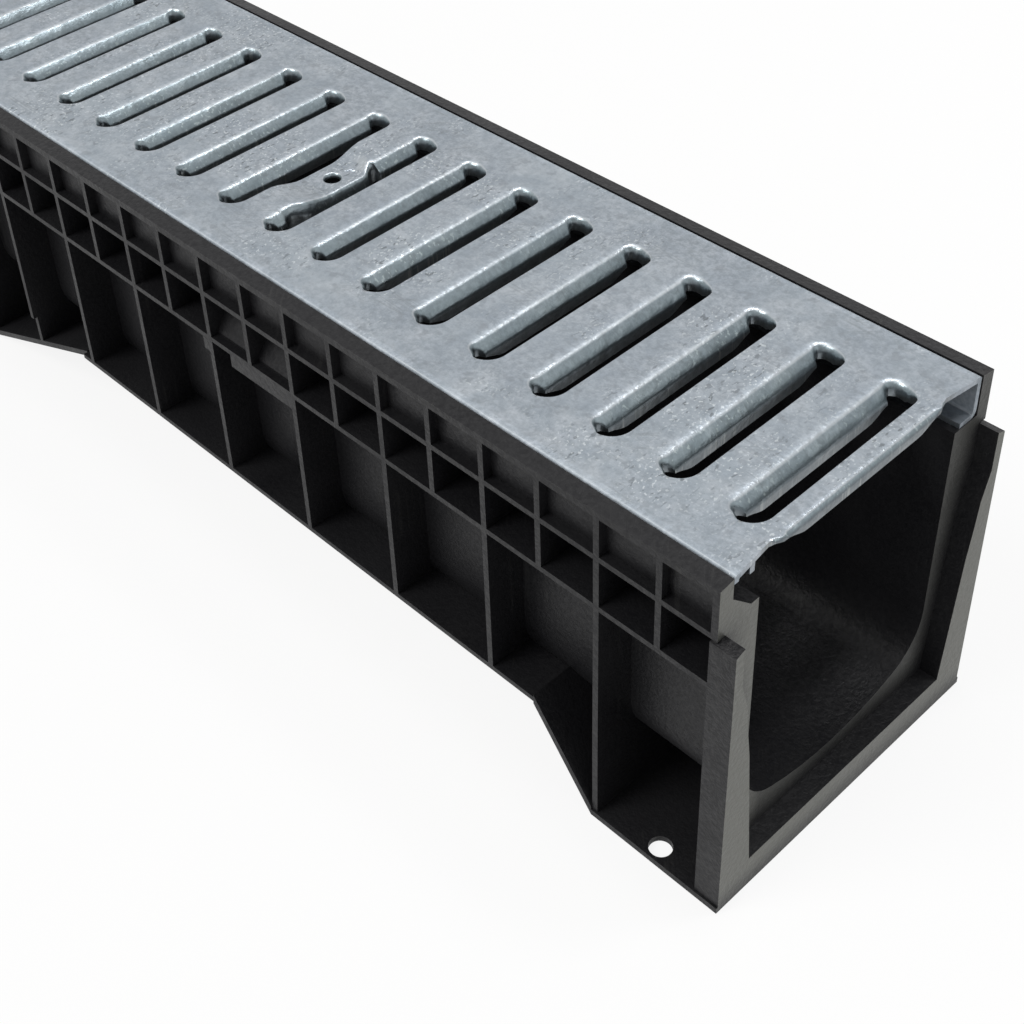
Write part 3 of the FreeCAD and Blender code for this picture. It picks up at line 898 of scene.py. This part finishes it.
print("material helpers ready")

# %% [markdown]
# Which way a face looks is a useful mask: it lays painted light on the ends of the trough, as if lit from
# the front, and painted shade on the bends of a pressed sheet, where they mirror less light. The mask reads
# the normal in the object's own space, so it stays put when the camera moves.


# %% Masks from the shape
def along(tree, vector, axis):
    """One part of a vector, 0 for X, 1 for Y and 2 for Z."""
    parts = tree.nodes.new("ShaderNodeSeparateXYZ")
    tree.links.new(vector, parts.inputs[0])
    return parts.outputs[axis]


def off_middle(tree, place):
    """Distance from the channel's middle plane."""
    return math_node(tree, "ABSOLUTE", along(tree, place, 1))


def facing(tree, axis):
    """Part of the surface's own normal along one axis, before any bump."""
    geometry = tree.nodes.new("ShaderNodeNewGeometry")
    turn = tree.nodes.new("ShaderNodeVectorTransform")
    turn.vector_type = "NORMAL"
    turn.convert_from, turn.convert_to = "WORLD", "OBJECT"
    tree.links.new(geometry.outputs["Normal"], turn.inputs[0])
    return along(tree, turn.outputs[0], axis)


def corner_shade(tree, distance):
    """Near 0 in tight corners and 1 in the open, to keep the painted light of the end faces out of corners,
    which stay in painted shade.
    """
    node = tree.nodes.new("ShaderNodeAmbientOcclusion")
    node.samples = 6
    node.inputs["Distance"].default_value = distance
    return node.outputs["AO"]


print("shape masks ready")

# %% [markdown]
# Recycled black plastic comes out of the mould satin, a shade lighter where it has been rubbed, and with
# a faint grain. The colour itself is almost black; what lifts it is the sheen, so the sheen is broad and
# only a little speckled. Only the end faces are lighter, and that is painted light: an olive-grey on the
# faces that look along +X, as if lit from the front, kept out of tight corners, which stay in painted
# shade.
# Standing rain has left thin pale tide lines on the floor of the channel.

# %% Colours and places of the black plastic
BLACK = [(0.0, (0.0070, 0.0070, 0.0082)), (1.0, (0.0125, 0.0125, 0.0138))]
BLACK_SPECK = (0.0100, 0.0100, 0.0112)
PAINTED_END_LIGHT = [(0.0, (0.108, 0.110, 0.099)), (1.0, (0.142, 0.144, 0.130))]
TIDE = (0.060, 0.068, 0.060)
SCUFF = (0.11, 0.11, 0.105)
NEAR_END_X = (0.490, 0.492)      # the painted light lies on the end faces from here outward
COLLAR_X = (0.499, 0.501)
LEFT_RIM_Y = (-0.050, -0.040)    # weaker painted light on the rim's end to the left of this
DUCT_FLOOR_Z = (0.030, 0.062)
DUCT_Y = (0.046, 0.050)
DUCT_END_X = (0.495, 0.496)
print("plastic from", BLACK[0][1], "to", BLACK[1][1])

# %% Moulded black plastic
plastic, tree, shader, place = start_material("moulded_black_plastic")
marks = place_group(tree, clouds, place, Cloud_Scale=14.0, Speckle_Scale=520.0)
scuffs = place_group(tree, scratches, place, Angle=0.9, Fineness=260.0, Length=14.0)
base = tone(tree, marks["Cloud"], BLACK)
base = blend_colour(tree, marks["Speckle"], base, BLACK_SPECK)
# Painted light: the faces that look along +X at the near end turn olive-grey, weaker on the rim's end away
# from -Y, and tight corners keep a painted shade.
end_face = map_range(tree, facing(tree, 0), 0.90, 0.98)
near_end = map_range(tree, along(tree, place, 0), *NEAR_END_X)
open_part = map_range(tree, corner_shade(tree, 0.012), 0.55, 1.0)
collar_face = map_range(tree, along(tree, place, 0), *COLLAR_X)
left_rim = map_range(tree, along(tree, place, 1), *LEFT_RIM_Y, 1.0, 0.28)
near_end = times(tree, near_end, math_node(tree, "MAXIMUM", collar_face, left_rim))
painted_end_light = times(tree, times(tree, end_face, near_end), open_part)
base = blend_colour(tree, painted_end_light, base, tone(tree, marks["Cloud"], PAINTED_END_LIGHT))
low_down = map_range(tree, along(tree, place, 2), *DUCT_FLOOR_Z, 1.0, 0.0)
inside = map_range(tree, off_middle(tree, place), *DUCT_Y, 1.0, 0.0)
behind_end = map_range(tree, along(tree, place, 0), *DUCT_END_X, 1.0, 0.0)
duct_floor = times(tree, times(tree, low_down, inside), behind_end)
wet = math_node(tree, "ABSOLUTE", math_node(tree, "SUBTRACT", noise(tree, place, 24.0, 4.0, 0.6, 1.6), 0.5))
puddles = map_range(tree, noise(tree, place, 11.0, 2.0), 0.46, 0.58)
tide = times(tree, map_range(tree, wet, 0.012, 0.0), times(tree, duct_floor, puddles))
base = blend_colour(tree, times(tree, tide, 0.45), base, TIDE)
base = blend_colour(tree, times(tree, scuffs["Mask"], 0.08), base, SCUFF)
tree.links.new(base, shader.inputs["Base Color"])
rough = map_range(tree, marks["Cloud"], 0.0, 1.0, 0.36, 0.54)
tree.links.new(rough, shader.inputs["Roughness"])
sheen = map_range(tree, marks["Speckle"], 0.0, 1.0, 0.20, 0.32)
tree.links.new(sheen, shader.inputs["Specular IOR Level"])
tree.links.new(bump(tree, marks["Speckle"], 0.40, 0.0002), shader.inputs["Normal"])
shader.inputs["IOR"].default_value = 1.45
print("material", plastic.name)

# %% [markdown]
# Hot-dip zinc is a cool grey and never even: soft spots where it pooled, small dull pits, and fine rub
# marks. It is a metal, so its base colour is what it mirrors, and roughness does most of the work. Most
# rub marks run along the grate, the way it was handled; a few cross it at a slant. The rolled edges get
# painted shade, darker than the plate as if they mirrored a darker surround, and a thin painted highlight
# on the crest where they leave it.

# %% Colours and places of the zinc
ZINC = [(0.0, (0.270, 0.308, 0.345)), (0.55, (0.350, 0.388, 0.425)), (1.0, (0.430, 0.465, 0.500))]
ZINC_BROAD = (0.350, 0.372, 0.425)
ZINC_GRAIN = (0.185, 0.212, 0.232)
SMUDGE = (0.21, 0.23, 0.25)
PIT = (0.085, 0.095, 0.102)
FLECK = (0.58, 0.62, 0.64)
RUB = (0.21, 0.23, 0.24)
# Painted highlight on the crest where each bend leaves the plate.
PAINTED_CREST_HIGHLIGHT = (0.50, 0.53, 0.55)
# Painted shade on the rolled bends: the base colour is multiplied darker the less the surface looks up.
BEND_SHADE_PAINT = [                       # by how far the surface looks up
    (0.0, (0.62, 0.62, 0.60)), (0.25, (0.42, 0.44, 0.44)), (0.62, (0.55, 0.60, 0.59)),
    (0.80, (0.74, 0.78, 0.77)), (0.90, (1.0, 1.0, 1.0)),
]
SLOTS_Y = (0.046, 0.049)         # the painted bend shade ends here
MARGIN_Y = (0.0575, 0.0590)      # and the grate's dull margin starts here
print("zinc from", ZINC[0][1], "to", ZINC[-1][1])

# %% Zinc coating
zinc, tree, shader, place = start_material("zinc_coating")
marks = place_group(tree, clouds, place, Cloud_Scale=85.0, Speckle_Scale=520.0)
broad = place_group(tree, clouds, place, Cloud_Scale=17.0, Speckle_Scale=150.0)
pits = place_group(tree, dashes, place, Across=640.0, Along=260.0, Amount=0.615)
flecks = place_group(tree, dashes, place, Across=900.0, Along=700.0, Amount=0.60)
fine = place_group(tree, scratches, place, Angle=0.03, Fineness=420.0, Length=9.0)
cross = place_group(tree, scratches, place, Angle=-0.8, Fineness=300.0, Length=22.0)
base = tone(tree, marks["Cloud"], ZINC)
base = blend_colour(tree, times(tree, broad["Cloud"], 0.30), base, ZINC_BROAD)
patchy = math_node(tree, "ADD", 0.25, times(tree, broad["Cloud"], 0.40))
base = blend_colour(tree, times(tree, marks["Speckle"], patchy), base, ZINC_GRAIN)
base = blend_colour(tree, map_range(tree, broad["Speckle"], 0.78, 1.0, 0.0, 0.40), base, SMUDGE)
up = facing(tree, 2)
pitted = times(tree, pits["Mask"], map_range(tree, up, 0.70, 0.95))
base = blend_colour(tree, times(tree, pitted, 0.60), base, PIT)
base = blend_colour(tree, times(tree, flecks["Mask"], 0.70), base, FLECK)
rubs = math_node(tree, "MAXIMUM", fine["Mask"], cross["Mask"])
base = blend_colour(tree, times(tree, rubs, 0.45), base, RUB)
slots_only = map_range(tree, off_middle(tree, place), *SLOTS_Y, 1.0, 0.0)
# Painted shade on the rolled bends, by which way they look.
base = blend_colour(tree, slots_only, base, tone(tree, up, BEND_SHADE_PAINT), "MULTIPLY")
# Painted highlight: a thin lighter line on the crest of each bend, where the surface looks partly up.
crest_highlight = times(tree, map_range(tree, up, 0.95, 0.89), map_range(tree, up, 0.76, 0.84))
crest_highlight = times(tree, crest_highlight, math_node(tree, "ADD", 0.25, broad["Cloud"]))
base = blend_colour(tree, times(tree, crest_highlight, 0.55), base, PAINTED_CREST_HIGHLIGHT)
tree.links.new(base, shader.inputs["Base Color"])
shader.inputs["Metallic"].default_value = 0.9
rough = map_range(tree, marks["Cloud"], 0.0, 1.0, 0.47, 0.37)
polished = times(tree, map_range(tree, up, 0.985, 0.90, 0.0, 0.10), slots_only)
rough = math_node(tree, "SUBTRACT", rough, polished)
margin = map_range(tree, off_middle(tree, place), *MARGIN_Y)
rough = math_node(tree, "MAXIMUM", rough, times(tree, margin, 0.68))
tree.links.new(rough, shader.inputs["Roughness"])
normal = bump(tree, marks["Cloud"], 0.30, 0.0006)
normal = bump(tree, marks["Speckle"], 0.30, 0.0001, normal)
normal = bump(tree, pits["Mask"], -0.5, 0.0003, normal)
normal = bump(tree, rubs, 0.2, 0.0001, normal)
tree.links.new(normal, shader.inputs["Normal"])
print("material", zinc.name)

# %% [markdown]
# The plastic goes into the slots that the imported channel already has, and the zinc onto the new grates.

# %% Put the finishes on the parts
for slot in channel.material_slots:
    slot.material = plastic
for piece in pressed:
    piece.data.materials.append(zinc)
print("finishes placed on", [o.name for o in [channel] + pressed])

# %% [markdown]
# Last, the view shows the colours as they were set.

# %% Finish
scene = bpy.context.scene
scene.view_settings.view_transform = "Standard"
